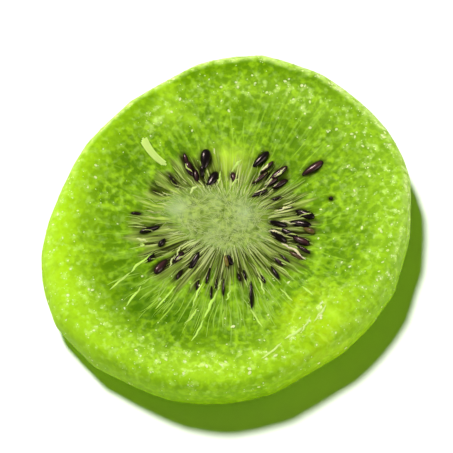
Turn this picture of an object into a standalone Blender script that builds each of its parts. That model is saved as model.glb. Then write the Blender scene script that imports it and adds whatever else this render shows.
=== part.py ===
"""A slice of candied kiwi fruit, lying on its lower cut face.

Candying draws the water out of the soft middle and leaves the outer flesh plump, so the slice is a
shallow dish: a thick rounded rim, a slope down to a sunken ring of seeds, and an oval, tougher core that
stands a little proud of the ring. The seeds sit half in the flesh and are one body with it.

The body is turned as a plain round dish first. Each of its points is then carried to its place on the
real slice, which is oval, has the flats that the peeler left, and is uneven in every direction.
Metres, +Z up, with the origin under the middle of the slice at the height of the table.
"""

import math
import random

import bmesh
import bpy
from mathutils import Matrix, Vector, noise

MM = 0.001

# Driving dimensions of the slice
MEAN_RADIUS = 19.8 * MM
RIM_HEIGHT = 6.0 * MM
CENTRE_HEIGHT = 4.9 * MM  # top of the core
RING_HEIGHT = 4.3 * MM  # floor of the seed ring
UNDER_CENTRE = 1.1 * MM  # how far the core's lower end is off the table
UNDER_RING = 1.5 * MM
SHOULDER_ROUNDING = 2.5  # exponent of the wall's superellipse: 2 is round, more is squarer

# Zones of the turned dish, as shares of its radius
CORE = 0.25
TROUGH = 0.34
SEED_RING = 0.47
CREST = 0.91
FOOT_INSIDE = 0.72
FOOT_OUTSIDE = 0.84

# Lobes are (waves round the slice, size of a wave, direction of a crest in degrees). The outline's and the
# crest's are shares of a radius
OUTLINE_LOBES = ((2, 0.073, 46), (3, 0.018, -36), (4, 0.007, 5), (6, 0.009, 27))
CREST_LOBES = ((2, 0.015, 100), (3, 0.015, 150))
SWAY_LOBES = ((2, 0.22 * MM, -50), (3, 0.16 * MM, 20), (5, 0.07 * MM, 70))
PEEL_FLATS = 14
PEEL_DEPTH = 0.35  # 0 is a round wall, 1 is a wall of true flats
PEEL_WANDER = ((3, 0.10, 11), (5, 0.07, 18))  # in radians, how far the flats are from an even spacing

# The core and the seed ring are ovals that sit a little off the middle: (x, y, half length, half width, turn)
CORE_OVAL = (-1.2 * MM, 0.9 * MM, 5.9 * MM, 3.6 * MM, -12)
RING_OVAL = (-0.6 * MM, 0.1 * MM, 9.9 * MM, 8.4 * MM, 5)

# Relief
RIBS = 31  # walls of the seed chambers, seen as radial ribs
RIB_HEIGHT = 0.28 * MM
RIB_NARROWING = 1.5
RIB_END = 0.82
RIB_WANDER = ((4, 0.06, 15), (7, 0.04, 13))  # in radians
DENT_HEIGHT = 0.22 * MM
DENT_SIZE = 4.2 * MM
DENT_LEVEL = 13 * MM  # which layer of the noise is used
FOLD_ANGLE = -44  # the rim is pushed inwards in a fold here
FOLD_SPREAD = 19
FOLD_HEIGHT = 0.5 * MM
FOLD_PUSH = 0.09  # share of the crest's radius
FOLD_START = 0.50
FOLD_TOP = 0.80
LIFTED_STRETCHES = 3  # the slice is warped, and stands on the stretches of its foot between these
LIFT_HEIGHT = 0.45 * MM
LIFT_ANGLE = 15

# Seeds
SEED_LENGTH = 2.3 * MM
SEED_WIDTH = 1.2 * MM
SEED_THICKNESS = 0.9 * MM
SEED_TAPER = 0.35
SEED_SIDES = 6
SEED_RINGS = 4
SEED_ROLL = 0.6  # most that a seed leans in its chamber, in radians
SEED_YAW = 0.15
SEED_PITCH = 0.12
SEED_SINK = 0.15 * MM  # most that a seed's middle is above or below the flesh
RANDOM_SEED = 11
# Seed chambers that the knife opened on the upper face: direction in degrees, then how far each of the
# chamber's seeds is from the middle of the slice, in mm
CHAMBERS = (
    (3, (5.3, 7.7)),
    (10, (8.3,)),
    (37, (11.3,)),
    (43, (7.5,)),
    (50, (5.1, 8.3)),
    (60, (6.7,)),
    (67, (8.7,)),
    (85, (6.0,)),
    (108, (6.0, 8.4)),
    (121, (7.0, 9.2)),
    (138, (8.1,)),
    (153, (9.0,)),
    (171, (10.2,)),
    (182, (8.6,)),
    (194, (7.5,)),
    (203, (9.2,)),
    (212, (6.4, 8.7)),
    (226, (5.4, 7.7)),
    (248, (6.2,)),
    (265, (4.1, 7.3)),
    (286, (6.0, 8.5)),
    (312, (7.3,)),
    (323, (6.6,)),
    (335, (7.9,)),
    (348, (5.4, 7.9)),
)
UNDER_CHAMBERS = 15  # the lower face has its seeds spread evenly, two in each chamber
UNDER_SEED_SHARES = (0.33, 0.43)

# Fineness of the turned dish
SECTORS = 112
RING_SHARES_TOP = (0.08, 0.17, 0.25, 0.29, 0.34, 0.40, 0.47, 0.54, 0.61, 0.68, 0.74, 0.80, 0.86)
WALL_STEPS = 9
RING_SHARES_UNDER = (0.72, 0.62, 0.54, 0.47, 0.38, 0.30, 0.18)
MERGE = 0.00001
HALVINGS = 24
SEED_STEP = 0.02  # run over which the slope under a seed is taken

SHARP_ANGLE = math.radians(40)
FLESH_COLOUR = (0.28, 0.53, 0.015, 1.0)
FLESH_ROUGHNESS = 0.45
SEED_COLOUR = (0.012, 0.006, 0.005, 1.0)
SEED_ROUGHNESS = 0.3


def clear_scene():
    for obj in list(bpy.data.objects):
        bpy.data.objects.remove(obj)


def smooth_step(low, high, value):
    t = min(1.0, max(0.0, (value - low) / (high - low)))
    return t * t * (3 - 2 * t)


def between(knots, value):
    """Runs smoothly through knots of (place, height)."""
    for (start, first), (end, last) in zip(knots, knots[1:]):
        if value <= end:
            return first + (last - first) * smooth_step(start, end, value)
    return knots[-1][1]


def waves(lobes, angle):
    return sum(size * math.cos(count * (angle - math.radians(crest))) for count, size, crest in lobes)


def turn_between(angle, degrees):
    """Signed turn in radians from a direction in degrees to an angle in radians, within half a turn."""
    return (angle - math.radians(degrees) + math.pi) % (2 * math.pi) - math.pi


# ---- The plan of the slice


def oval_radius(oval, angle):
    """Distance from the middle of the slice to an oval's edge, along a direction."""
    x, y, half_length, half_width, turn = oval
    away = Matrix.Rotation(-math.radians(turn), 2)
    start = away @ Vector((-x, -y))
    way = away @ Vector((math.cos(angle), math.sin(angle)))
    a = (way.x / half_length) ** 2 + (way.y / half_width) ** 2
    b = start.x * way.x / half_length**2 + start.y * way.y / half_width**2
    c = (start.x / half_length) ** 2 + (start.y / half_width) ** 2 - 1
    return (-b + math.sqrt(b * b - a * c)) / a


def outline_radius(angle):
    sector = 2 * math.pi / PEEL_FLATS
    off_middle = (angle + waves(PEEL_WANDER, angle)) % sector - sector / 2
    flat = math.cos(sector / 3) / math.cos(off_middle)
    return MEAN_RADIUS * (1 + waves(OUTLINE_LOBES, angle)) * (1 + PEEL_DEPTH * (flat - 1))


def fold(angle):
    return math.exp(-((turn_between(angle, FOLD_ANGLE) / math.radians(FOLD_SPREAD)) ** 2))


def crest_radius(angle):
    share = CREST * (1 + waves(CREST_LOBES, angle) - FOLD_PUSH * fold(angle))
    return share * outline_radius(angle)


def real_radius(share, angle):
    """Where a circle of the turned dish lies on the real slice."""
    marks = (
        (0.0, 0.0),
        (CORE, oval_radius(CORE_OVAL, angle)),
        (SEED_RING, oval_radius(RING_OVAL, angle)),
        (CREST, crest_radius(angle)),
        (1.0, outline_radius(angle)),
    )
    for (start, first), (end, last) in zip(marks, marks[1:]):
        if share <= end:
            return first + (last - first) * (share - start) / (end - start)
    return marks[-1][1]


# ---- Its heights


def top_height(share):
    knots = (
        (0.0, CENTRE_HEIGHT),
        (CORE, RING_HEIGHT + 0.35 * MM),
        (TROUGH, RING_HEIGHT - 0.1 * MM),
        (SEED_RING, RING_HEIGHT + 0.1 * MM),
        (CREST, RIM_HEIGHT),
    )
    return between(knots, share)


def under_height(share):
    knots = (
        (0.0, UNDER_CENTRE),
        (CORE, UNDER_CENTRE + 0.1 * MM),
        (TROUGH, UNDER_RING),
        (SEED_RING, UNDER_RING - 0.2 * MM),
        (FOOT_INSIDE, 0.0),
    )
    return between(knots, share)


def ribs(share, angle):
    """Thin radial walls between the seed chambers, strongest at the outer edge of the seed ring."""
    uneven = angle + waves(RIB_WANDER, angle)
    wall = abs(math.cos(0.5 * RIBS * uneven)) ** RIB_NARROWING
    where = smooth_step(CORE, TROUGH, share) * (1 - smooth_step(SEED_RING, RIB_END, share))
    return RIB_HEIGHT * (wall - 0.5) * where


def top_relief(share, angle, x, y):
    dent = noise.noise(Vector((x, y, DENT_LEVEL)) / DENT_SIZE)
    sway = waves(SWAY_LOBES, angle) * smooth_step(0.0, CREST, share)
    pushed_up = FOLD_HEIGHT * fold(angle) * smooth_step(FOLD_START, FOLD_TOP, share)
    return sway + ribs(share, angle) + DENT_HEIGHT * dent + pushed_up


def under_relief(share, angle):
    return -0.5 * ribs(share, angle) * (1 - smooth_step(SEED_RING, FOOT_INSIDE, share))


def lift(share, angle):
    wave = math.cos(LIFTED_STRETCHES * (angle - math.radians(LIFT_ANGLE)))
    return LIFT_HEIGHT * smooth_step(0.0, 1.0, wave) * smooth_step(CORE, 1.0, share)


def on_slice(share, angle, height):
    """Carries a point of the turned dish to its place on the real slice."""
    radius = real_radius(share, angle)
    x = radius * math.cos(angle)
    y = radius * math.sin(angle)
    upper = smooth_step(UNDER_RING, RING_HEIGHT - 0.4 * MM, height)
    relief = upper * top_relief(share, angle, x, y) + (1 - upper) * under_relief(share, angle)
    return Vector((x, y, height + relief + lift(share, angle)))


# ---- The solid


def section():
    """Half the dish's section as (share, height), from the top's middle round to the underside's."""
    points = [(0.0, top_height(0.0))]
    points += [(share, top_height(share)) for share in RING_SHARES_TOP]
    middle = 0.5 * RIM_HEIGHT
    power = 2 / SHOULDER_ROUNDING
    for step in range(WALL_STEPS + 1):
        turn = math.pi * (0.5 - step / WALL_STEPS)
        inner = CREST if turn > 0 else FOOT_OUTSIDE
        out = math.cos(turn) ** power if 0 < step < WALL_STEPS else 0.0
        up = math.copysign(abs(math.sin(turn)) ** power, turn)
        points.append((inner + (1 - inner) * out, middle * (1 + up)))
    points += [(share, under_height(share)) for share in RING_SHARES_UNDER]
    points.append((0.0, under_height(0.0)))
    return points


def mesh_as_shown(obj):
    graph = bpy.context.evaluated_depsgraph_get()
    return bpy.data.meshes.new_from_object(obj.evaluated_get(graph))


def turned_dish(name):
    points = section()
    mesh = bpy.data.meshes.new(name)
    places = [(share * MEAN_RADIUS, 0.0, height) for share, height in points]
    mesh.from_pydata(places, [(i, i + 1) for i in range(len(places) - 1)], [])
    dish = bpy.data.objects.new(name, mesh)
    bpy.context.scene.collection.objects.link(dish)
    screw = dish.modifiers.new("turn", "SCREW")
    screw.steps = SECTORS
    screw.render_steps = SECTORS
    screw.use_merge_vertices = True
    screw.merge_threshold = MERGE
    turned = mesh_as_shown(dish)
    bpy.data.objects.remove(dish)
    return turned


def shape_dish(mesh):
    """Makes the round dish the uneven slice."""
    for vertex in mesh.vertices:
        x, y, height = vertex.co
        share = math.hypot(x, y) / MEAN_RADIUS
        vertex.co = on_slice(share, math.atan2(y, x), height)
    work = bmesh.new()
    work.from_mesh(mesh)
    bmesh.ops.triangulate(work, faces=work.faces)
    bmesh.ops.recalc_face_normals(work, faces=work.faces)
    work.to_mesh(mesh)
    work.free()


def seed_mesh(material):
    """A kiwi seed: a flattened drop with its point along -X."""
    mesh = bpy.data.meshes.new("seed")
    work = bmesh.new()
    bmesh.ops.create_uvsphere(work, u_segments=SEED_SIDES, v_segments=SEED_RINGS, radius=0.5)
    bmesh.ops.rotate(work, verts=work.verts, matrix=Matrix.Rotation(math.pi / 2, 3, "Y"))
    for vertex in work.verts:
        thin = 1 - SEED_TAPER * (0.5 - vertex.co.x)
        vertex.co.x *= SEED_LENGTH
        vertex.co.y *= SEED_WIDTH * thin
        vertex.co.z *= SEED_THICKNESS * thin
    work.to_mesh(mesh)
    work.free()
    mesh.materials.append(material)
    return mesh


def face_point(share, angle, side):
    """A point of the upper (side 1) or the lower (side -1) face."""
    return on_slice(share, angle, top_height(share) if side > 0 else under_height(share))


def share_at(distance, angle):
    """The turned dish's share of the radius that lies this far from the middle, found by halving."""
    low, high = 0.0, 1.0
    for _ in range(HALVINGS):
        middle = (low + high) / 2
        if real_radius(middle, angle) < distance:
            low = middle
        else:
            high = middle
    return low


def place_seed(mesh, share, angle, side, draw, collection):
    """Lays a seed along its chamber, half sunk in the flesh."""
    spot = face_point(share, angle, side)
    run = face_point(share + SEED_STEP, angle, side) - spot
    slope = math.atan2(run.z, run.xy.length)
    seed = bpy.data.objects.new("seed", mesh)
    seed.rotation_euler = (
        draw.uniform(-SEED_ROLL, SEED_ROLL),
        draw.uniform(-SEED_PITCH, SEED_PITCH) - slope,
        draw.uniform(-SEED_YAW, SEED_YAW) + angle,
    )
    seed.location = spot + Vector((0, 0, draw.uniform(-SEED_SINK, SEED_SINK)))
    collection.objects.link(seed)


def scatter_seeds(material):
    """All seeds of both faces, in a collection of their own."""
    draw = random.Random(RANDOM_SEED)
    mesh = seed_mesh(material)
    seeds = bpy.data.collections.new("seeds")
    bpy.context.scene.collection.children.link(seeds)
    for direction, distances in CHAMBERS:
        for distance in distances:
            angle = math.radians(direction)
            place_seed(mesh, share_at(distance * MM, angle), angle, 1, draw, seeds)
    for chamber in range(UNDER_CHAMBERS):
        for row, share in enumerate(UNDER_SEED_SHARES):
            angle = 2 * math.pi * (chamber + row / 2) / UNDER_CHAMBERS
            place_seed(mesh, share, angle, -1, draw, seeds)
    bpy.context.view_layer.update()
    return seeds


def fuse(obj, seeds):
    """Makes the slice and its seeds one body."""
    join = obj.modifiers.new("fuse_seeds", "BOOLEAN")
    join.operation = "UNION"
    join.operand_type = "COLLECTION"
    join.collection = seeds
    join.solver = "EXACT"
    join.material_mode = "TRANSFER"
    obj.data = mesh_as_shown(obj)
    obj.modifiers.remove(join)
    for seed in list(seeds.objects):
        bpy.data.objects.remove(seed)
    bpy.data.collections.remove(seeds)


def stand_on_origin(mesh):
    """Puts the middle of the slice's plan over the origin, with its foot on the table."""
    low = Vector([min(v.co[i] for v in mesh.vertices) for i in range(3)])
    high = Vector([max(v.co[i] for v in mesh.vertices) for i in range(3)])
    middle = (low + high) / 2
    mesh.transform(Matrix.Translation((-middle.x, -middle.y, 0)))


def material(name, colour, roughness):
    made = bpy.data.materials.new(name)
    made.use_nodes = True
    made.diffuse_color = colour
    shader = made.node_tree.nodes["Principled BSDF"]
    shader.inputs["Base Color"].default_value = colour
    shader.inputs["Roughness"].default_value = roughness
    shader.inputs["Metallic"].default_value = 0.0
    return made


def kiwi_slice(collection):
    mesh = turned_dish("kiwi_slice")
    shape_dish(mesh)
    mesh.materials.clear()
    mesh.materials.append(material("candied_flesh", FLESH_COLOUR, FLESH_ROUGHNESS))
    obj = bpy.data.objects.new("kiwi_slice", mesh)
    collection.objects.link(obj)
    fuse(obj, scatter_seeds(material("kiwi_seed", SEED_COLOUR, SEED_ROUGHNESS)))
    stand_on_origin(obj.data)
    obj.data.shade_smooth()
    obj.data.set_sharp_from_angle(angle=SHARP_ANGLE)


def build():
    clear_scene()
    collection = bpy.data.collections.new("candied_kiwi")
    bpy.context.scene.collection.children.link(collection)
    kiwi_slice(collection)


build()
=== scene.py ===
# %% [markdown]
# # A slice of candied kiwi
#
# This lesson dresses one slice of candied kiwi fruit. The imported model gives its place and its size, and one
# node, `kiwi_slice`, which is the flesh with its seeds in one solid. A solid of one colour can't show black
# seeds in green flesh, so four pieces replace it: the flesh, the seeds, the pale fibres and the sugar.
#
# Sizes are in metres, and `MM` turns a size in millimetres into one.

# %% Load the frame
import math
import random

import bpy
import numpy as np
from mathutils import Euler, Matrix, Vector, noise


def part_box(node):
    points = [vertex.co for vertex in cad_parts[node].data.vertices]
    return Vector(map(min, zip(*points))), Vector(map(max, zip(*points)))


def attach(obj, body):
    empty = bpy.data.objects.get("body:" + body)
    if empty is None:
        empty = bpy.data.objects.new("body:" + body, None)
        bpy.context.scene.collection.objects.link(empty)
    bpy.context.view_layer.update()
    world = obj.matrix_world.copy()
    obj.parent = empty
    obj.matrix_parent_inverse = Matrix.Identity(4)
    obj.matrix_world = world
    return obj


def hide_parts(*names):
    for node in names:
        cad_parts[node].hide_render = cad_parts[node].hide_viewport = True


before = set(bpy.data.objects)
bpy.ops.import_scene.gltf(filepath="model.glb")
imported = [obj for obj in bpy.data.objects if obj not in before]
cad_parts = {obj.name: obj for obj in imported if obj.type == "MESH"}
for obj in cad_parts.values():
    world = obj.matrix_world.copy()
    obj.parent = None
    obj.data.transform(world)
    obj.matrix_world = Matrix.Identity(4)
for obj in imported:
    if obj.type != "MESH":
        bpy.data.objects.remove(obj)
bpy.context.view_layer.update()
MM = 0.001

# %% [markdown]
# ## A few small helpers
#
# A node tree can be built by hand in the editor, or by a script that adds each node in three lines. Here one
# function adds a node of any kind, with its settings and with what goes into its sockets, and it serves for
# materials and for Geometry Nodes alike. Colours are written as the hex values that a colour picker shows,
# and one function turns them into the linear light that Blender counts in. Many rules below multiply a few
# numbers, some of them stored on the mesh, so another function works such a row out and takes those by name.

# %% Helpers for nodes and colours
def linear(hex_colour):
    """The linear RGBA of an sRGB colour such as #8CC81E."""
    parts = [int(hex_colour[i : i + 2], 16) / 255 for i in (1, 3, 5)]
    return (*[c / 12.92 if c <= 0.04045 else ((c + 0.055) / 1.055) ** 2.4 for c in parts], 1.0)


def add(tree, kind, sockets=None, **settings):
    """Adds a node and returns its outputs. A socket gets a value, a hex colour or a link from an output."""
    made = tree.nodes.new(kind)
    for name, value in settings.items():
        setattr(made, name, value)
    for socket, value in (sockets or {}).items():
        if isinstance(value, bpy.types.NodeSocket):
            tree.links.new(value, made.inputs[socket])
        elif isinstance(value, str) and value.startswith("#"):
            made.inputs[socket].default_value = linear(value)
        else:
            made.inputs[socket].default_value = value
    return made.outputs


def stored(tree, name, kind="FLOAT"):
    """What the mesh stores at its points under a name, for a material or for Geometry Nodes."""
    if tree.type == "SHADER":
        return add(tree, "ShaderNodeAttribute", attribute_name=name)["Fac" if kind == "FLOAT" else "Vector"]
    return add(tree, "GeometryNodeInputNamedAttribute", {"Name": name}, data_type=kind)[0]


def reckon(tree, operation, *parts):
    """Adds, multiplies or the like from left to right. A name stands for the number stored under it."""
    parts = [stored(tree, part) if isinstance(part, str) else part for part in parts]
    total = parts[0]
    for part in parts[1:]:
        total = add(tree, "ShaderNodeMath", {0: total, 1: part}, operation=operation)[0]
    return total


def show_size(obj):
    sides = [round(1000 * side, 2) for side in obj.dimensions]
    print(f"{obj.name}: {len(obj.data.polygons)} faces, {sides} mm")


# %% [markdown]
# ## The form of the slice
#
# Candying draws the water out of the soft middle, so the slice is a shallow dish: a plump rim, a slope down
# to a sunken ring of seeds, and a core that stands a little proud. A dish could be sculpted, but the frame
# was made from a rule, and the same rule makes a finer skin that lies exactly on it.
#
# The rule works on a plain round dish, where a point has a `share` of the radius, an `angle` and a height. It
# then carries each point to its place on the real, oval and uneven slice. NumPy takes all points at once.

# %% Sizes of the slice
MEAN_RADIUS = 19.8 * MM
RIM_HEIGHT = 6.0 * MM
CENTRE_HEIGHT = 4.9 * MM
RING_HEIGHT = 4.3 * MM
UNDER_CENTRE = 1.1 * MM
UNDER_RING = 1.5 * MM
SHOULDER_ROUNDING = 2.5
CORE, TROUGH, SEED_RING, CREST = 0.25, 0.34, 0.47, 0.91
FOOT_INSIDE, FOOT_OUTSIDE = 0.72, 0.84

# Lobes are (waves round the slice, size of a wave, direction of a crest in degrees)
OUTLINE_LOBES = ((2, 0.073, 46), (3, 0.018, -36), (4, 0.007, 5), (6, 0.009, 27))
CREST_LOBES = ((2, 0.015, 100), (3, 0.015, 150))
SWAY_LOBES = ((2, 0.22 * MM, -50), (3, 0.16 * MM, 20), (5, 0.07 * MM, 70))
PEEL_FLATS, PEEL_DEPTH = 14, 0.35
PEEL_WANDER = ((3, 0.10, 11), (5, 0.07, 18))
CORE_OVAL = (-1.2 * MM, 0.9 * MM, 5.9 * MM, 3.6 * MM, -12)
RING_OVAL = (-0.6 * MM, 0.1 * MM, 9.9 * MM, 8.4 * MM, 5)
RIBS, RIB_HEIGHT, RIB_NARROWING, RIB_END = 31, 0.28 * MM, 1.5, 0.82
RIB_WANDER = ((4, 0.06, 15), (7, 0.04, 13))
DENT_HEIGHT, DENT_SIZE, DENT_LEVEL = 0.22 * MM, 4.2 * MM, 13 * MM
FOLD_ANGLE, FOLD_SPREAD, FOLD_HEIGHT, FOLD_PUSH = -44, 19, 0.5 * MM, 0.09
FOLD_START, FOLD_TOP = 0.50, 0.80
LIFTED_STRETCHES, LIFT_HEIGHT, LIFT_ANGLE = 3, 0.45 * MM, 15


# %% The rule of the plan
def smooth_step(low, high, value):
    t = np.clip((value - low) / (high - low), 0.0, 1.0)
    return t * t * (3 - 2 * t)


def bell(value, middle, width):
    """1 at a value, falling to 0 on both sides of it."""
    return np.exp(-(((value - middle) / width) ** 2))


def between(knots, value):
    """Runs smoothly through knots of (place, height)."""
    height = np.full_like(value, knots[-1][1], dtype=float)
    for (start, first), (end, last) in reversed(list(zip(knots, knots[1:]))):
        height = np.where(value <= end, first + (last - first) * smooth_step(start, end, value), height)
    return height


def waves(lobes, angle):
    return sum(size * np.cos(count * (angle - math.radians(crest))) for count, size, crest in lobes)


def near_direction(angle, degrees, spread):
    """1 in a direction, falling to 0 over a spread in degrees on both sides."""
    off = (angle - math.radians(degrees) + math.pi) % (2 * math.pi) - math.pi
    return bell(off, 0, math.radians(spread))


def oval_radius(oval, angle):
    """Distance from the middle of the slice to an oval's edge, along a direction."""
    x, y, half_length, half_width, turn = oval
    turn = math.radians(turn)
    start = Matrix.Rotation(-turn, 2) @ Vector((-x, -y))
    way_x, way_y = np.cos(angle - turn), np.sin(angle - turn)
    a = (way_x / half_length) ** 2 + (way_y / half_width) ** 2
    b = start.x * way_x / half_length**2 + start.y * way_y / half_width**2
    c = (start.x / half_length) ** 2 + (start.y / half_width) ** 2 - 1
    return (-b + np.sqrt(b * b - a * c)) / a


def outline_radius(angle):
    sector = 2 * math.pi / PEEL_FLATS
    off_middle = (angle + waves(PEEL_WANDER, angle)) % sector - sector / 2
    flat = math.cos(sector / 3) / np.cos(off_middle)
    return MEAN_RADIUS * (1 + waves(OUTLINE_LOBES, angle)) * (1 + PEEL_DEPTH * (flat - 1))


def fold(angle):
    return near_direction(angle, FOLD_ANGLE, FOLD_SPREAD)


def crest_radius(angle):
    share = CREST * (1 + waves(CREST_LOBES, angle) - FOLD_PUSH * fold(angle))
    return share * outline_radius(angle)


def plan_marks(angle):
    """Shares of the turned dish, and where each lies on the real slice along a direction."""
    radii = (0 * angle, oval_radius(CORE_OVAL, angle), oval_radius(RING_OVAL, angle))
    return (0.0, CORE, SEED_RING, CREST, 1.0), (*radii, crest_radius(angle), outline_radius(angle))


def real_radius(share, angle):
    shares, radii = plan_marks(angle)
    radius = radii[-1] + 0 * share
    for i in range(len(shares) - 2, -1, -1):
        step = (share - shares[i]) / (shares[i + 1] - shares[i])
        radius = np.where(share <= shares[i + 1], radii[i] + (radii[i + 1] - radii[i]) * step, radius)
    return radius


def share_at(distance, angle):
    """The share of the turned dish that lies this far from the middle, in one direction."""
    shares, radii = plan_marks(np.array(angle))
    return float(np.interp(distance, [float(r) for r in radii], shares))


# %% The rule of the heights
def top_height(share):
    knots = (
        (0.0, CENTRE_HEIGHT),
        (CORE, RING_HEIGHT + 0.35 * MM),
        (TROUGH, RING_HEIGHT - 0.1 * MM),
        (SEED_RING, RING_HEIGHT + 0.1 * MM),
        (CREST, RIM_HEIGHT),
    )
    return between(knots, share)


def under_height(share):
    knots = (
        (0.0, UNDER_CENTRE),
        (CORE, UNDER_CENTRE + 0.1 * MM),
        (TROUGH, UNDER_RING),
        (SEED_RING, UNDER_RING - 0.2 * MM),
        (FOOT_INSIDE, 0.0),
    )
    return between(knots, share)


def ribs(share, angle):
    uneven = angle + waves(RIB_WANDER, angle)
    wall = np.abs(np.cos(0.5 * RIBS * uneven)) ** RIB_NARROWING
    where = smooth_step(CORE, TROUGH, share) * (1 - smooth_step(SEED_RING, RIB_END, share))
    return RIB_HEIGHT * (wall - 0.5) * where


def top_relief(share, angle, x, y):
    places = np.stack(np.broadcast_arrays(x, y, DENT_LEVEL), axis=-1).reshape(-1, 3) / DENT_SIZE
    dent = np.array([noise.noise(place) for place in places]).reshape(np.shape(x))
    sway = waves(SWAY_LOBES, angle) * smooth_step(0.0, CREST, share)
    pushed_up = FOLD_HEIGHT * fold(angle) * smooth_step(FOLD_START, FOLD_TOP, share)
    return sway + ribs(share, angle) + DENT_HEIGHT * dent + pushed_up


def under_relief(share, angle):
    return -0.5 * ribs(share, angle) * (1 - smooth_step(SEED_RING, FOOT_INSIDE, share))


def lift(share, angle):
    wave = np.cos(LIFTED_STRETCHES * (angle - math.radians(LIFT_ANGLE)))
    return LIFT_HEIGHT * smooth_step(0.0, 1.0, wave) * smooth_step(CORE, 1.0, share)


def on_slice(share, angle, height):
    """Carries points of the turned dish to their places on the real slice. The last axis is x, y, z."""
    share, angle, height = np.broadcast_arrays(share, angle, height)
    radius = real_radius(share, angle)
    x, y = radius * np.cos(angle), radius * np.sin(angle)
    upper = smooth_step(UNDER_RING, RING_HEIGHT - 0.4 * MM, height)
    relief = upper * top_relief(share, angle, x, y) + (1 - upper) * under_relief(share, angle)
    return np.stack([x, y, height + relief + lift(share, angle)], axis=-1)


def face_point(share, angle, side):
    """One point of the upper (side 1) or lower (side -1) face."""
    height = top_height(np.array(share)) if side > 0 else under_height(np.array(share))
    return Vector(on_slice(share, angle, height))


# %% [markdown]
# ## Where the seeds lie
#
# A kiwi has about thirty chambers round its core, and the knife opens some and misses others, so the seeds
# show in groups with pale gaps between them. Scattering them at random would give an even ring, which a
# real slice never has. So each opened chamber is written down by its direction and by how far out its seeds
# are, as the frame has them. A table then says how each seed looks: dim under the flesh, unripe, thin or
# turned aside. A second table adds seeds that are too thin for the frame. The lower face has its seeds spread
# evenly.

# %% Seeds
SEED_LENGTH, SEED_WIDTH, SEED_THICKNESS, SEED_TAPER = 2.3 * MM, 1.2 * MM, 0.9 * MM, 0.35
SEED_ROLL, SEED_YAW, SEED_PITCH, SEED_SINK = 0.5, 0.06, 0.12, 0.06 * MM
RANDOM_SEED = 11
# Each opened chamber: its direction in degrees, and how far out its seeds lie in millimetres
CHAMBERS = (
    (3, (5.3, 7.7)), (10, (8.3,)), (37, (11.3,)), (43, (7.5,)), (50, (5.1, 8.3)), (60, (6.7,)),
    (67, (8.7,)), (85, (6.0,)), (108, (6.0, 8.4)), (121, (7.0, 9.2)), (138, (8.1,)), (153, (9.0,)),
    (171, (10.2,)), (182, (8.6,)), (194, (7.5,)), (203, (9.2,)), (212, (6.4, 8.7)), (226, (5.4, 7.7)),
    (248, (6.2,)), (265, (4.1, 7.3)), (286, (6.0, 8.5)), (312, (7.3,)), (323, (6.6,)), (335, (7.9,)),
    (348, (5.4, 7.9)),
)
UNDER_CHAMBERS = 15
UNDER_SEED_SHARES = (0.33, 0.43)

# The looks of a seed, by (direction of its chamber, row): how many millimetres under the flesh, how ripe, its
# length, width and thickness against a full seed, and how many degrees it is turned away from its chamber
SEED_LOOKS = {
    (3, 0): (0, 1.0, (0.95, 0.6, 0.8), -4),
    (3, 1): (0, 1.0, (1.05, 0.8, 0.9), -10),
    (10, 0): (0, 1.0, (1.0, 0.9, 1.0), -24),
    (37, 0): (0, 0.72, (1.22, 0.98, 1.0), 2),
    (43, 0): (0, 0.9, (0.9, 0.62, 0.8), 0),
    (50, 0): (0.05, 0.95, (0.9, 0.36, 0.8), -6),
    (50, 1): (0, 0.78, (1.1, 0.75, 0.8), 2),
    (60, 0): (0.03, 0.7, (1.0, 0.46, 0.8), -8),
    (67, 0): (0, 1.0, (1.12, 0.85, 1.0), -10),
    (85, 0): (0.35, 0.75, (0.6, 0.8, 0.8), 30),
    (108, 0): (0, 1.0, (0.95, 0.95, 0.9), -34),
    (108, 1): (-0.05, 1.0, (1.0, 1.2, 1.0), -20),
    (121, 0): (0.25, 0.9, (0.85, 0.7, 0.9), -14),
    (121, 1): (0.4, 0.8, (0.8, 0.6, 0.9), -14),
    (138, 0): (0.16, 0.95, (0.9, 0.24, 0.6), -8),
    (153, 0): (0.45, 0.8, (0.7, 0.5, 0.7), 0),
    (171, 0): (0.1, 0.95, (0.5, 0.35, 0.6), 6),
    (182, 0): (-0.05, 1.0, (1.05, 0.55, 0.9), 12),
    (194, 0): (0, 1.0, (0.5, 0.6, 0.8), 30),
    (203, 0): (0, 1.0, (0.55, 0.5, 0.8), 22),
    (212, 0): (0.16, 0.92, (0.85, 0.75, 0.8), 8),
    (212, 1): (0, 0.74, (0.95, 0.9, 1.0), 8),
    (226, 0): (0, 1.0, (0.95, 0.62, 0.9), 0),
    (226, 1): (0.1, 0.95, (0.6, 0.3, 0.7), 6),
    (248, 0): (0.1, 0.95, (0.9, 0.28, 0.7), 0),
    (265, 0): (0.06, 0.12, (0.6, 0.45, 0.8), 0),
    (265, 1): (0.15, 0.95, (1.0, 0.28, 0.7), -4),
    (286, 0): (0.05, 1.0, (0.6, 0.3, 0.7), -8),
    (286, 1): (-0.02, 1.0, (1.35, 0.38, 0.8), -18),
    (312, 0): (0, 1.0, (0.78, 0.45, 0.8), -14),
    (323, 0): (0.3, 0.9, (0.8, 0.4, 0.7), -8),
    (335, 0): (0.1, 0.4, (0.8, 0.4, 0.7), -8),
    (348, 0): (0, 1.0, (1.0, 0.75, 0.9), -12),
    (348, 1): (0.05, 0.75, (0.9, 0.8, 0.9), -12),
}
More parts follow.
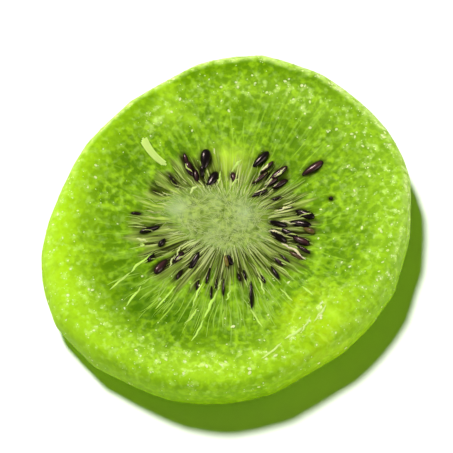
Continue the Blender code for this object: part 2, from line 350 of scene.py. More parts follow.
# Thin seeds and chips, too fine for the frame: direction, distance, and the same four
SMALL_SEEDS = (
    (16, 11.4, 0.05, 1.0, (0.2, 0.4, 0.4), 0),
    (354, 6.5, 0.03, 1.0, (0.95, 0.6, 0.7), -20),
    (357, 8.6, 0.12, 0.3, (0.6, 0.6, 0.8), -20),
    (49, 6.9, 0.04, 0.72, (0.8, 0.34, 0.7), -4),
    (60, 8.1, 0.02, 0.66, (0.9, 0.42, 0.8), -8),
    (271, 4.0, 0.04, 1.0, (0.55, 0.5, 0.7), 10),
    (256, 8.0, 0.14, 0.95, (0.7, 0.22, 0.6), 0),
    (300, 7.2, 0.14, 0.95, (0.5, 0.25, 0.6), -10),
    (341, 8.4, 0.14, 0.9, (0.8, 0.4, 0.7), -14),
    (114, 7.3, 0.06, 1.0, (0.6, 0.5, 0.7), -20),
    (122, 8.2, 0.3, 0.85, (0.8, 0.9, 0.9), -10),
    (243, 7.6, 0.14, 0.95, (0.6, 0.22, 0.6), 4),
    (258, 6.9, 0.14, 0.95, (0.5, 0.22, 0.6), 0),
    (280, 6.0, 0.1, 0.95, (0.5, 0.28, 0.6), 0),
    (20, 6.6, 0.16, 0.95, (0.8, 0.24, 0.6), -6),
    (34, 6.0, 0.12, 0.95, (0.7, 0.26, 0.6), -6),
    (328, 7.0, 0.16, 0.95, (0.8, 0.24, 0.6), -10),
)


def lay_seed(share, angle, side, draw, look):
    """A seed's place, turn and looks. It points away from the middle of the core, half sunk in the flesh."""
    depth, ripeness, size, turn = look
    spot = face_point(share, angle, side)
    run = face_point(share + 0.02, angle, side) - spot
    slope = math.atan2(run.z, run.xy.length)
    roll = draw.uniform(-SEED_ROLL, SEED_ROLL)
    pitch = draw.uniform(-SEED_PITCH, SEED_PITCH) - slope
    away = spot.xy - Vector(CORE_OVAL[:2])
    yaw = draw.uniform(-SEED_YAW, SEED_YAW) + math.atan2(away.y, away.x) + math.radians(turn)
    spot.z += draw.uniform(-SEED_SINK, SEED_SINK) - side * (depth * MM)
    return {"place": spot, "turn": (roll, pitch, yaw), "side": side, "ripeness": ripeness, "size": size}


def lay_seeds():
    draw = random.Random(RANDOM_SEED)
    looks = random.Random(RANDOM_SEED + 1)

    def plain():
        """The looks of a seed that has none of its own in the table, as on the lower face."""
        size = (looks.uniform(0.88, 1.02), looks.uniform(0.5, 0.85), 0.95)
        return 0.05, looks.uniform(0.8, 1.0), size, 0

    laid = []
    for direction, distances in CHAMBERS:
        for row, distance in enumerate(distances):
            angle = math.radians(direction)
            look = SEED_LOOKS.get((direction, row), plain())
            laid.append(lay_seed(share_at(distance * MM, angle), angle, 1, draw, look))
    for chamber in range(UNDER_CHAMBERS):
        for row, share in enumerate(UNDER_SEED_SHARES):
            angle = 2 * math.pi * (chamber + row / 2) / UNDER_CHAMBERS
            laid.append(lay_seed(share, angle, -1, draw, plain()))
    for direction, distance, *look in SMALL_SEEDS:
        angle = math.radians(direction)
        laid.append(lay_seed(share_at(distance * MM, angle), angle, 1, draw, look))
    return laid


seeds = lay_seeds()
print(len(seeds), "seeds,", sum(seed["side"] > 0 for seed in seeds), "on the upper face")

# %% [markdown]
# ## The flesh
#
# The skin of the flesh is one closed mesh: rings of points run from the middle of the upper face, over the
# rim and the wall, to the middle of the lower face. Its grid is fine enough for the soft nests that the seeds
# lie in. The mesh also carries attributes, numbers stored at each point, which tell the material later where
# the core, the seed ring and the rim are. Painting an image would do that too, but attributes need no file.

# %% Where the flesh changes its look
SECTORS, TOP_RINGS, WALL_RINGS, UNDER_RINGS = 500, 104, 44, 44
NEST_DEPTH = 0.12 * MM
# The seed ring is dark only where chambers were cut open: (direction, spread in degrees, how dark)
DARK_STRETCHES = (
    (50, 20, 0.45),
    (22, 18, 0.75),
    (-6, 20, 1.0),
    (205, 14, 0.9),
    (183, 10, 0.7),
    (142, 14, 0.55),
    (224, 18, 1.0),
    (262, 26, 1.2),
    (112, 12, 0.9),
    (126, 10, 0.7),
    (310, 24, 0.6),
)
# Pale spots: (direction, distance, radius)
PALE_SPOTS = (
    (116, 14.3 * MM, 1.5 * MM),
    (114, 16.9 * MM, 1.1 * MM),
    (109, 12.9 * MM, 0.9 * MM),
    (-25, 10.3 * MM, 0.45 * MM),
    (193, 9.5 * MM, 0.45 * MM),
    (228, 11.3 * MM, 0.35 * MM),
    (-46, 15.6 * MM, 1.0 * MM),
)
# Where sugar has settled: (direction, spread, share of the radius, width in shares, how much)
FROST_PATCHES = (
    (66, 17, 0.80, 0.06, 0.7),
    (38, 24, 0.88, 0.10, 0.45),
    (0, 20, 0.88, 0.08, 0.8),
    (14, 18, 0.72, 0.08, 0.25),
    (120, 10, 0.78, 0.08, 0.7),
    (90, 14, 0.79, 0.05, 0.35),
    (200, 26, 0.86, 0.10, 0.22),
    (256, 30, 0.84, 0.08, 0.85),
    (226, 20, 0.88, 0.07, 0.3),
    (303, 18, 0.82, 0.05, 0.9),
)
THIN_FROST = 0.23
# In the same terms, where the flesh is painted a darker green, and painted light: a brighter green where light
# comes through it
DARKER_PATCHES = ((232, 34, 0.63, 0.13, 1.0), (232, 26, 0.83, 0.08, 0.14), (94, 20, 0.56, 0.1, 0.1))
PAINTED_LIGHT_PATCHES = ((198, 26, 0.73, 0.12, 0.4), (264, 19, 0.86, 0.09, 0.5), (257, 11, 0.68, 0.11, 0.3))
# What the lower face shows too
ON_BOTH_FACES = ("core", "zone", "divider", "ring", "wall", "wrinkled", "rim")
CLUMP_SIZE = 0.8 * MM


def ragged(angle, steps, size, level):
    """A border's uneven run round the core: smooth noise along the direction."""
    spots = zip(steps * np.cos(angle), steps * np.sin(angle))
    return size * np.array([noise.noise((x, y, level)) for x, y in spots])


def spot_at(points, way, distance, size):
    """1 at a place given by its direction and distance, falling to 0 over a size."""
    way = math.radians(way)
    away = np.hypot(points[:, 0] - distance * math.cos(way), points[:, 1] - distance * math.sin(way))
    return bell(away, 0, size)


def strongest(parts):
    return np.maximum.reduce(list(parts))


def zones(share, angle, points):
    """Numbers for each point of the flesh, mostly from 0 to 1, which the material reads."""
    height = points[:, 2]

    def patch(way, spread, middle, width, amount=1.0):
        """A soft spot round a direction and a share of the radius."""
        return amount * near_direction(angle, way, spread) * bell(share, middle, width)

    def outer(way, spread, low, high, amount=1.0):
        """A stretch of the slice round a direction, from between two shares of the radius to the rim."""
        return amount * near_direction(angle, way, spread) * smooth_step(low, high, share)

    def band(around, way, spread, start, full, fading, gone):
        """A stretch round a direction that also ends, between two larger shares."""
        begun = near_direction(around, way, spread) * smooth_step(start, full, share)
        return begun * (1 - smooth_step(fading, gone, share))

    # The core and the ring of chambers round it, both with ragged borders
    core_edge = 0.235 + ragged(angle, 2.5, 0.035, 0.0) + ragged(angle, 9.0, 0.03, 5.0)
    ring_edge = 0.46 + ragged(angle, 2.0, 0.06, 9.0) + ragged(angle, 12.0, 0.12, 14.0)
    ring_edge = ring_edge - 0.06 * near_direction(angle, 258, 36) + 0.05 * near_direction(angle, 186, 14)
    zone = smooth_step(core_edge - 0.03, core_edge + 0.03, share)
    zone = zone * (1 - smooth_step(ring_edge - 0.05, ring_edge + 0.03, share))
    dark = sum(amount * near_direction(angle, way, spread) for way, spread, amount in DARK_STRETCHES)

    # Darker green with painted shade on the far rim, painted light where light comes through, and a pale band
    # along the far edge, partly sugar and partly painted highlight
    deep = strongest(
        [patch(*spot) for spot in DARKER_PATCHES]
        # The far rim's outer stretches are painted shade
        + [outer(76, 50, 0.8, 0.92, amount=0.3), outer(62, 56, 0.68, 0.78, amount=0.09)]
    )
    # Painted light: a brighter green where the rim and the near slope face the lamp and light comes through
    # them
    lit = strongest([outer(190, 42, 0.68, 0.94, amount=0.85)] + [patch(*spot) for spot in PAINTED_LIGHT_PATCHES])
    # A pale band along the far edge: partly sugar, partly painted highlight where the edge catches the light
    edge = outer(80, 75, 0.92, 0.965) * smooth_step(4.0 * MM, 5.0 * MM, height)

    # Sugar has settled in patches, hardly on the far rim and less on the wall
    frost = sum((patch(*spot) for spot in FROST_PATCHES), THIN_FROST + 0 * share)
    on_wall = 1 - smooth_step(1.5 * MM, 4.5 * MM, height)
    frost = frost * (1 - 0.85 * outer(98, 36, 0.85, 0.91)) * (1 - 0.65 * on_wall)

    # A crease runs along the foot of the fold, and a second one runs outward from it, a little bent
    bent = angle + 0.5 * (share - 0.7)
    creases = (patch(-38, 11, 0.575, 0.022), band(bent, -27, 3.2, 0.54, 0.62, 0.76, 0.88))
    fans = (band(angle, 268, 38, 0.4, 0.5, 0.57, 0.74), band(angle, 60, 16, 0.52, 0.6, 0.78, 0.88))
    return {
        "core": 1 - smooth_step(core_edge - 0.05, core_edge + 0.04, share),
        "ring": zone * np.clip(0.2 + dark, 0.0, 1.0),
        "zone": zone,
        "divider": zone * (1.2 - 0.85 * near_direction(angle, 262, 30)),
        "wall": np.abs(np.cos(0.5 * RIBS * (angle + waves(RIB_WANDER, angle)))) ** 7,
        "wrinkled": smooth_step(0.22, 0.3, share) * (1 - smooth_step(0.6, 0.9, share)),
        # The rim is painted brighter green, as painted light for light that comes through it, less so on the
        # far side
        "rim": smooth_step(0.66, 0.95, share) * (1 - 0.6 * near_direction(angle, 76, 52)),
        "deep": deep,
        "lit": lit,
        # The fold is painted brighter, as painted light for light that comes through it
        "fold": outer(-52, 17, 0.57, 0.67),
        # Besides being pressed in, the creases are painted darker green: painted shade
        "crease": strongest(creases),
        "fan": strongest(fans),
        "light": patch(92, 17, 0.42, 0.09),
        "edge": edge,
        "pale": strongest(spot_at(points, *spot) for spot in PALE_SPOTS),
        "frost": np.clip(frost * (1 - 0.8 * deep) + 2.0 * edge, 0.0, 2.0),
        "whitish": strongest(
            (spot_at(points, 160, 6.4 * MM, 1.5 * MM), 0.7 * spot_at(points, 38, 2.2 * MM, 1.3 * MM))
        ),
        "olive": spot_at(points, 12, 4.2 * MM, 1.1 * MM),
    }


# %% The flesh's mesh
def section():
    """Half the dish's section: shares, heights and how far each point is to the upper side."""
    top = np.linspace(0, CREST, TOP_RINGS, endpoint=False)[1:]
    turn = math.pi * (0.5 - np.arange(WALL_RINGS + 1) / WALL_RINGS)
    power = 2 / SHOULDER_ROUNDING
    inner = np.where(turn > 0, CREST, FOOT_OUTSIDE)
    out = np.abs(np.cos(turn)) ** power
    out[[0, -1]] = 0.0
    up = np.copysign(np.abs(np.sin(turn)) ** power, turn)
    under = np.linspace(FOOT_OUTSIDE, 0, UNDER_RINGS, endpoint=False)[1:]
    shares = np.concatenate([top, inner + (1 - inner) * out, under])
    heights = np.concatenate([top_height(top), 0.5 * RIM_HEIGHT * (1 + up), under_height(under)])
    upper = np.concatenate([np.ones_like(top), 0.5 + 0.5 * up, np.zeros_like(under)])
    return shares, heights, upper


def seed_distance(points, seed, grow):
    """How far points are from a seed's middle, counted in the seed's own half length and half width."""
    off = points[:, :2] - np.array(seed["place"])[:2]
    yaw = seed["turn"][2]
    along = off @ np.array([math.cos(yaw), math.sin(yaw)])
    across = off @ np.array([-math.sin(yaw), math.cos(yaw)])
    long, wide, _ = seed["size"]
    return np.hypot(along / (0.5 * SEED_LENGTH * long + grow), across / (0.5 * SEED_WIDTH * wide + grow))


def flesh_mesh():
    shares, heights, upper = section()
    turns = 2 * math.pi * np.arange(SECTORS) / SECTORS
    grid = on_slice(shares[:, None], turns[None, :], heights[:, None]).reshape(-1, 3)
    ends = [face_point(0.0, 0.0, 1), face_point(0.0, 0.0, -1)]
    points = np.concatenate([grid, ends])
    share = np.append(np.repeat(shares, SECTORS), [0, 0])
    side = np.append(np.repeat(upper, SECTORS), [1, 0])
    angle = np.append(np.tile(turns, len(shares)), [0, 0])

    rings, rows = len(shares), np.arange(SECTORS)
    after = (rows + 1) % SECTORS
    faces = []
    for ring in range(rings - 1):
        a, b = ring * SECTORS, (ring + 1) * SECTORS
        faces += np.stack([a + rows, b + rows, b + after, a + after], axis=1).tolist()
    top, bottom, last = len(grid), len(grid) + 1, (rings - 1) * SECTORS
    faces += np.stack([np.full(SECTORS, top), rows, after], axis=1).tolist()
    faces += np.stack([np.full(SECTORS, bottom), last + after, last + rows], axis=1).tolist()

    shade = np.zeros(len(points))
    for seed in seeds:
        ours = side > 0.5 if seed["side"] > 0 else side < 0.5
        nest = bell(seed_distance(points, seed, 0.35 * MM), 0, 1) * ours
        points[:, 2] -= seed["side"] * NEST_DEPTH * seed["size"][1] * nest
        shade = np.maximum(shade, np.exp(-(seed_distance(points, seed, 0.18 * MM) ** 4)) * ours)

    mesh = bpy.data.meshes.new("kiwi_flesh")
    mesh.from_pydata(points.tolist(), [], faces)
    mesh.update()
    values = {"share": share, "upper": side, "seed_shade": shade}
    for name, numbers in zones(share, angle, points).items():
        values[name] = numbers if name in ON_BOTH_FACES else numbers * side
    for name, numbers in values.items():
        mesh.attributes.new(name, "FLOAT", "POINT").data.foreach_set("value", numbers)
    ray = np.stack([np.cos(angle), np.sin(angle), share], axis=1)
    mesh.attributes.new("ray", "FLOAT_VECTOR", "POINT").data.foreach_set("vector", ray.ravel())
    return mesh


def object_of(name, mesh):
    made = bpy.data.objects.new(name, mesh)
    bpy.context.scene.collection.objects.link(made)
    return made


flesh = object_of("kiwi_flesh", flesh_mesh())
show_size(flesh)

# %% [markdown]
# ## Put the slice where the frame has it
#
# The frame's slice is centred on the middle of its own box. The rule above isn't, so the offset between the
# two boxes is measured once, and every piece made from the rule is moved by it.

# %% Centre on the frame
low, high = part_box("kiwi_slice")
corners = np.array([v.co for v in flesh.data.vertices])
shift = (Vector(low) + Vector(high)) / 2 - Vector((corners.min(axis=0) + corners.max(axis=0)) / 2)
shift.z = 0.0
flesh.data.transform(Matrix.Translation(shift))
for seed in seeds:
    seed["place"] += shift
print("offset to the frame, mm:", [round(1000 * c, 3) for c in shift])

# %% [markdown]
# ## Geometry Nodes that end in plain meshes
#
# The pucker of the skin, the seeds, the fibres and the sugar each follow a rule over the slice, which is
# what Geometry Nodes are for: the sizes stay open as named inputs until the result is read. The result is
# turned into a plain mesh at once, because nothing that is only an instance would reach an exported model.


# %% Helpers for Geometry Nodes
def new_tree(name, sizes):
    """A tree with a geometry in and out, and a named input for each size. Returns it with its inputs."""
    tree = bpy.data.node_groups.new(name, "GeometryNodeTree")
    for way in ("INPUT", "OUTPUT"):
        tree.interface.new_socket("Geometry", in_out=way, socket_type="NodeSocketGeometry")
    for label, value in sizes.items():
        kind = "NodeSocketInt" if isinstance(value, int) else "NodeSocketFloat"
        tree.interface.new_socket(label, in_out="INPUT", socket_type=kind).default_value = value
    return tree, add(tree, "NodeGroupInput")


def close_tree(tree, geometry, material=None):
    """Ends a tree in Realize Instances and Set Material."""
    real = add(tree, "GeometryNodeRealizeInstances", {"Geometry": geometry})[0]
    if material:
        real = add(tree, "GeometryNodeSetMaterial", {"Geometry": real, "Material": material})[0]
    add(tree, "NodeGroupOutput", {"Geometry": real})


def run_tree(obj, tree, name):
    """Runs a tree on an object and returns the plain mesh that comes out."""
    modifier = obj.modifiers.new(tree.name, "NODES")
    modifier.node_group = tree
    graph = bpy.context.evaluated_depsgraph_get()
    ready = obj.evaluated_get(graph)
    mesh = bpy.data.meshes.new_from_object(ready, preserve_all_data_layers=True, depsgraph=graph)
    obj.modifiers.remove(modifier)
    mesh.name = name
    return mesh


# %% [markdown]
# ## Puckered skin
#
# Drying pulls the flesh together in shallow puckers of about two millimetres, with a finer grain on top, like
# the skin of an orange, and fine wrinkles run out from the core. Bump in the material alone would leave the
# outline of the rim smooth, so all three are real: each point of the mesh is moved along its normal by noise.
# The wrinkles' noise is read along the stored direction and share, so that it stretches away from the core.
# A crease at the foot of the fold is pressed in at the same time.


# %% Pucker the flesh
NOISE_TOP = 0.75  # noise hardly ever goes above this


def pucker_tree():
    sizes = {
        "Pucker size": 2.2 * MM,
        "Pucker depth": 0.16 * MM,
        "Grain size": 0.7 * MM,
        "Grain depth": 0.06 * MM,
        "Wrinkle spread": 0.035,
        "Wrinkle depth": 0.14 * MM,
        "Crease depth": 0.35 * MM,
    }
    tree, given = new_tree("pucker_skin", sizes)

    def hollows(where, size, depth):
        """Noise that only goes down, so that nothing leaves the frame's box."""
        scale = reckon(tree, "DIVIDE", 1.0, size)
        sockets = {"Vector": where, "Scale": scale, "Detail": 1.0, "Roughness": 0.4}
        wave = add(tree, "ShaderNodeTexNoise", sockets)[0]
        return reckon(tree, "MULTIPLY", reckon(tree, "SUBTRACT", wave, NOISE_TOP), depth)

    place = add(tree, "GeometryNodeInputPosition")[0]
    sockets = {0: stored(tree, "ray", "FLOAT_VECTOR"), 1: (1, 1, 0.12)}
    along_rays = add(tree, "ShaderNodeVectorMath", sockets, operation="MULTIPLY")[0]
    puckers = hollows(place, given["Pucker size"], given["Pucker depth"])
    grains = hollows(place, given["Grain size"], given["Grain depth"])
    wrinkles = hollows(along_rays, given["Wrinkle spread"], given["Wrinkle depth"])
    wrinkles = reckon(tree, "MULTIPLY", wrinkles, "wrinkled")
    crease = reckon(tree, "MULTIPLY", given["Crease depth"], "crease")
    total = reckon(tree, "SUBTRACT", reckon(tree, "ADD", puckers, grains, wrinkles), crease)
    height = add(tree, "ShaderNodeSeparateXYZ", {0: place})["Z"]
    off_table = add(tree, "ShaderNodeMapRange", {"Value": height, "From Min": 0.0, "From Max": 0.3 * MM})[0]
    outward = add(tree, "GeometryNodeInputNormal")[0]
    sockets = {0: outward, "Scale": reckon(tree, "MULTIPLY", total, off_table)}
    offset = add(tree, "ShaderNodeVectorMath", sockets, operation="SCALE")[0]
    moved = add(tree, "GeometryNodeSetPosition", {"Geometry": given["Geometry"], "Offset": offset})
    close_tree(tree, moved[0])
    return tree


flesh.data = run_tree(flesh, pucker_tree(), "kiwi_flesh")
flesh.data.shade_smooth()
show_size(flesh)

# %% [markdown]
# ## Candied flesh
#
# The real material is fruit flesh soaked in syrup and half dried: clear green jelly between paler cell walls,
# under fine sugar that has half melted. Light goes about a millimetre and a half in and comes out greener,
# which subsurface scattering gives. The dull, tacky surface hardly mirrors, and a thin sheen stands for the
# finest dust.
#
# The colour is laid in layers, as a painter would: first the large zones, such as the rim and the fold painted
# brighter as painted light where light comes through them, darker green with painted shade on the far rim, and
# painted shade in the creases, then pits and cells under a millimetre, then strokes that run out from the
# core, then the pale flecks where sugar has caked and the pale far edge, partly sugar and partly painted
# highlight, and last the olive seed ring, the felted grey-green core and the shade round each seed. Every
# layer reads a stored attribute, a noise of a real size, or both.


# %% Helpers for materials
def start_material(name):
    made = bpy.data.materials.new(name)
    made.use_nodes = True
    made.node_tree.nodes.clear()
    return made, made.node_tree


def end_material(tree, sockets):
    shader = add(tree, "ShaderNodeBsdfPrincipled", sockets)
    add(tree, "ShaderNodeOutputMaterial", {"Surface": shader[0]})


def paint(tree, colour, *layers):
    """Lays colours over a first one, each as strongly as the product of the shares after it."""
    for over, *shares in layers:
        sockets = {0: reckon(tree, "MULTIPLY", *shares), 6: colour, 7: over}
        colour = add(tree, "ShaderNodeMix", sockets, data_type="RGBA")[2]
    return colour


# %% Material of the flesh
def candied_flesh():
    made, tree = start_material("candied_kiwi_flesh")
    place = add(tree, "ShaderNodeTexCoord")["Object"]
    aside = add(tree, "ShaderNodeMapping", {"Vector": place, "Location": (0.01, 0.02, 0.03)})[0]
    ray = stored(tree, "ray", "FLOAT_VECTOR")

    def grain(size, where=place, detail=2.0, low=0.35, high=0.65):
        """Noise with blotches of a real size, spread from 0 to 1."""
        spots = add(tree, "ShaderNodeTexNoise", {"Vector": where, "Scale": 1 / size, "Detail": detail})[0]
        return add(tree, "ShaderNodeMapRange", {"Value": spots, "From Min": low, "From Max": high})[0]

    def rays(across, along, low, high):
        """Noise stretched away from the core: spots round the core and along the way out."""
        where = add(tree, "ShaderNodeMapping", {"Vector": ray, "Scale": (across, across, along)})[0]
        return grain(1.0, where=where, low=low, high=high)

    def web(size, width, where=place):
        """Bright lines along the walls between cells of a real size, bent by noise."""
        bend = add(tree, "ShaderNodeTexNoise", {"Vector": where, "Scale": 1.7 / size, "Detail": 1.0})["Color"]
        bend = add(tree, "ShaderNodeVectorMath", {0: bend, "Scale": 0.7 * size}, operation="SCALE")[0]
        bent = add(tree, "ShaderNodeVectorMath", {0: where, 1: bend}, operation="ADD")[0]
        sockets = {"Vector": bent, "Scale": 1 / size}
        cells = add(tree, "ShaderNodeTexVoronoi", sockets, feature="DISTANCE_TO_EDGE")[0]
        sockets = {"Value": cells, "From Max": width, "To Min": 1.0, "To Max": 0.0}
        return add(tree, "ShaderNodeMapRange", sockets)[0]

    stretched = add(tree, "ShaderNodeMapping", {"Vector": ray, "Scale": (1, 1, 0.5)})[0]
    uneven = add(tree, "ShaderNodeMapRange", {"Value": grain(4.5 * MM, where=aside), "To Min": 0.5})[0]
    sockets = {"Value": stored(tree, "rim"), "To Min": 0.42, "To Max": 0.2}
    off_rim = add(tree, "ShaderNodeMapRange", sockets)[0]
    colour = paint(
        tree,
        "#4C7A00",
        ("#608C00", grain(4.0 * MM)),
        # The large zones: the plump rim painted brighter as light comes through it, more painted light where
        # it comes through, darker green and painted shade, the fold painted brighter in the same way, pale
        # spots, and painted shade in the creases
        ("#7EAE02", "rim", 0.8),
        ("#B4E010", "lit", 0.8),
        ("#3A6400", "deep", 0.9),
        ("#B2D400", "fold", grain(1.8 * MM, low=0.25, high=0.55), 0.7),
        ("#BCEA2C", "pale", 0.6),
        ("#467C00", "crease", 0.6),
        # Wrinkles, pits and cells of the jelly
        ("#437000", "wrinkled", rays(16, 3, 0.45, 0.65), 0.35),
        ("#467400", grain(0.75 * MM, where=aside, low=0.5, high=0.64), uneven, off_rim),
        ("#A6D418", grain(0.7 * MM, low=0.46, high=0.66), uneven, 0.65),
        # Fans of dark gaps and pale strokes that run out from the core
        ("#447006", "fan", rays(24, 2.4, 0.45, 0.62), 0.5),
        ("#B0DC50", "fan", rays(27, 2.2, 0.5, 0.68), 0.5),
        # Paler walls between the cells: drawn out round the core, caked with sugar, and clear on the fold
        ("#AAD838", "wrinkled", web(0.1, 0.12, where=stretched), grain(2.5 * MM, high=0.6), 0.5),
        ("#BCE83C", "frost", web(1.3 * MM, 0.13), grain(2.0 * MM, low=0.4, high=0.6), 0.5),
        ("#D8F258", "fold", web(2.2 * MM, 0.1), grain(2.6 * MM, low=0.4, high=0.56), 0.3),
        # Sugar as a haze and as flecks, then the darker green and painted shade once more, and the far edge's
        # pale band, partly sugar and partly painted highlight
        ("#B8E048", "frost", 0.26),
        ("#DEFA88", "frost", grain(CLUMP_SIZE, low=0.52, high=0.7), 0.7),
        ("#3E6C00", "deep", 0.5),
        ("#D0EC84", "edge", grain(0.9 * MM, low=0.36, high=0.58), 0.8),
        # The seed ring: a light gap, olive chambers with dark slits, and the pale walls between them
        ("#C0E040", "light", 0.9),
        ("#4A5220", "ring", 0.8),
        ("#1E170B", "ring", rays(24, 4.5, 0.42, 0.58), 0.85),
        ("#98B446", "divider", "wall", 0.4),
        ("#B4C862", "divider", rays(30, 5, 0.5, 0.66), 0.7),
    )
    felt = paint(
        tree,
        "#58701C",
        ("#A0B656", grain(0.5 * MM, low=0.34, high=0.66)),
        ("#A8BC74", grain(2.4 * MM, low=0.42, high=0.62), 0.4),
        ("#6C8626", grain(3.0 * MM, detail=0.0, low=0.5, high=0.64), 0.5),
        ("#B4C88C", "whitish", 0.65),
        ("#6A7E10", "olive", 0.6),
    )
    colour = paint(tree, colour, (felt, "core"), ("#1A1208", "seed_shade", 0.85))

    fine = add(tree, "ShaderNodeTexNoise", {"Vector": place, "Scale": 1 / (0.3 * MM), "Detail": 2.0})[0]
    bump = add(tree, "ShaderNodeBump", {"Strength": 0.5, "Distance": 0.05 * MM, "Height": fine})[0]
    dull = add(tree, "ShaderNodeMapRange", {"Value": grain(0.8 * MM), "To Min": 0.5, "To Max": 0.7})[0]
    # Syrup mirrors weakly and in green, and the dust of sugar shows as sheen
    sockets = {
        "Base Color": colour,
        "Normal": bump,
        "Roughness": dull,
        "IOR": 1.45,
        "Specular IOR Level": 0.12,
        "Specular Tint": "#E0FF40",
        "Subsurface Weight": 0.5,
        "Subsurface Radius": (0.9, 1.0, 0.12),
        "Subsurface Scale": 1.4 * MM,
        "Sheen Weight": 0.15,
        "Sheen Roughness": 0.2,
        "Sheen Tint": "#D0FF20",
    }
    end_material(tree, sockets)
    return made


flesh.data.materials.clear()
flesh.data.materials.append(candied_flesh())
print("layers of colour:", sum(node.type == "MIX" for node in flesh.data.materials[0].node_tree.nodes))

# %% [markdown]
# ## Seeds
#
# A kiwi seed is a flattened drop, a little over two millimetres long, with a hard glossy coat. The tree makes
# one drop from a sphere and sets it on each point of a small mesh, which stores how each seed is turned, its
# size against a full seed, and how ripe it is.


# %% Shape of a seed
def seed_tree(material):
    sizes = {"Length": SEED_LENGTH, "Width": SEED_WIDTH, "Thickness": SEED_THICKNESS, "Taper": SEED_TAPER}
    tree, given = new_tree("lay_seeds", sizes)
    ball = add(tree, "GeometryNodeMeshUVSphere", {"Segments": 14, "Rings": 10, "Radius": 0.5})["Mesh"]
    lying = add(tree, "GeometryNodeTransform", {"Geometry": ball, "Rotation": (0, math.pi / 2, 0)})[0]
    place = add(tree, "GeometryNodeInputPosition")[0]
    part = add(tree, "ShaderNodeSeparateXYZ", {0: place})
    loss = reckon(tree, "MULTIPLY", reckon(tree, "SUBTRACT", 0.5, part["X"]), given["Taper"])
    left = reckon(tree, "SUBTRACT", 1.0, loss)
    sockets = {
        "X": reckon(tree, "MULTIPLY", part["X"], given["Length"]),
        "Y": reckon(tree, "MULTIPLY", part["Y"], given["Width"], left),
        "Z": reckon(tree, "MULTIPLY", part["Z"], given["Thickness"], left),
    }
    drop = add(tree, "ShaderNodeCombineXYZ", sockets)[0]
    shaped = add(tree, "GeometryNodeSetPosition", {"Geometry": lying, "Position": drop})[0]
    smooth = add(tree, "GeometryNodeSetShadeSmooth", {"Geometry": shaped})[0]
    turn = add(tree, "FunctionNodeEulerToRotation", {0: stored(tree, "turn", "FLOAT_VECTOR")})[0]
    size = stored(tree, "size", "FLOAT_VECTOR")
    sockets = {"Points": given["Geometry"], "Instance": smooth, "Rotation": turn, "Scale": size}
    laid = add(tree, "GeometryNodeInstanceOnPoints", sockets)[0]
    close_tree(tree, laid, material)
    return tree


# %% Seed coat
def kiwi_seed():
    """Hard, glossy seed coat with fine pits: black when ripe and ochre when not, with a brownish highlight
    painted on top of the less ripe ones.
    """
    made, tree = start_material("kiwi_seed_coat")
    ripe = stored(tree, "ripeness")
    ramp = add(tree, "ShaderNodeValToRGB", {"Fac": ripe})[0]
    stops = ramp.node.color_ramp.elements
    stops.new(0.5)
    for stop, colour in zip(stops, ("#857A2A", "#2A1612", "#070403")):
        stop.color = linear(colour)
    # A brownish painted highlight where the coat faces up, stronger on less ripe seeds
    facing = add(tree, "ShaderNodeNewGeometry")["Normal"]
    upward = add(tree, "ShaderNodeSeparateXYZ", {0: facing})["Z"]
    crown_highlight = add(tree, "ShaderNodeMapRange", {"Value": upward, "From Min": 0.85, "From Max": 1.0})[0]
    sockets = {"Value": ripe, "From Min": 1.0, "From Max": 0.7, "To Max": 0.75}
    unripe = add(tree, "ShaderNodeMapRange", sockets)[0]
    place = add(tree, "ShaderNodeTexCoord")["Object"]
    pits = add(tree, "ShaderNodeTexVoronoi", {"Vector": place, "Scale": 1 / (0.16 * MM)})[0]
    sockets = {
        "Base Color": paint(tree, ramp, ("#4C2A2C", crown_highlight, unripe)),
        "Normal": add(tree, "ShaderNodeBump", {"Strength": 0.25, "Distance": 0.02 * MM, "Height": pits})[0],
        "Roughness": 0.24,
        "IOR": 1.5,
        "Specular IOR Level": 0.4,
        "Specular Tint": "#F0D6CE",
    }
    end_material(tree, sockets)
    return made


# %% Make the seeds
def points_object(name, places, edges=(), **numbers):
    """A mesh of points, loose or joined by edges, that stores numbers or vectors at each of them."""
    mesh = bpy.data.meshes.new(name)
    mesh.from_pydata(places, edges, [])
    for label, values in numbers.items():
        values = np.array(values, dtype=np.float32)
        kind, key = ("FLOAT", "value") if values.ndim == 1 else ("FLOAT_VECTOR", "vector")
        mesh.attributes.new(label, kind, "POINT").data.foreach_set(key, values.ravel())
    return object_of(name, mesh)


looks = {label: [seed[label] for seed in seeds] for label in ("turn", "ripeness", "size")}
places = points_object("seed_places", [seed["place"] for seed in seeds], **looks)
kiwi_seeds = object_of("kiwi_seeds", run_tree(places, seed_tree(kiwi_seed()), "kiwi_seeds"))
bpy.data.objects.remove(places)
show_size(kiwi_seeds)

# %% [markdown]
# ## Pale fibres
#
# Whitish fibres run out from the core between the chambers. The short ones felt the core and comb outward at
# its edge, some cross the seeds, and some long ones reach the middle of the slope, mostly on the near side.
# A few broad ones stand out on the real slice, so they are written down one by one. A sliver of flesh that
# the knife left lying on the slope is made the same way, from a few strands side by side.
#
# Each fibre is a path of a few points. The tree drops a path onto the flesh, or onto flesh and seeds, with a
# ray, so that it lies half sunk in the puckered skin, and then wraps a thin round profile round it. Hair
# strands would do this too, but they have no mesh to export.

# %% Where the fibres run
FIBRE_SEED = 3
FRINGE = 0.19  # past this share of the radius, the felt combs outward
RAY_FIBRES, LONG_FIBRES, FELT_FIBRES = 240, 60, 700
LONG_WAY, LONG_SPREAD = math.radians(262), math.radians(34)
SLIVER = (133.8, 9.9 * MM, 13.6 * MM, 0.3 * MM)  # direction, distances of its ends, half its width
SLIVER_STRANDS, SLIVER_BOW, SLIVER_RAGGED = 5, 0.3 * MM, 0.45  # the last one in millimetres
STREAK_STEPS, STREAK_WANDER, STREAK_WIDENING = 18, 0.17 * MM, 1.35
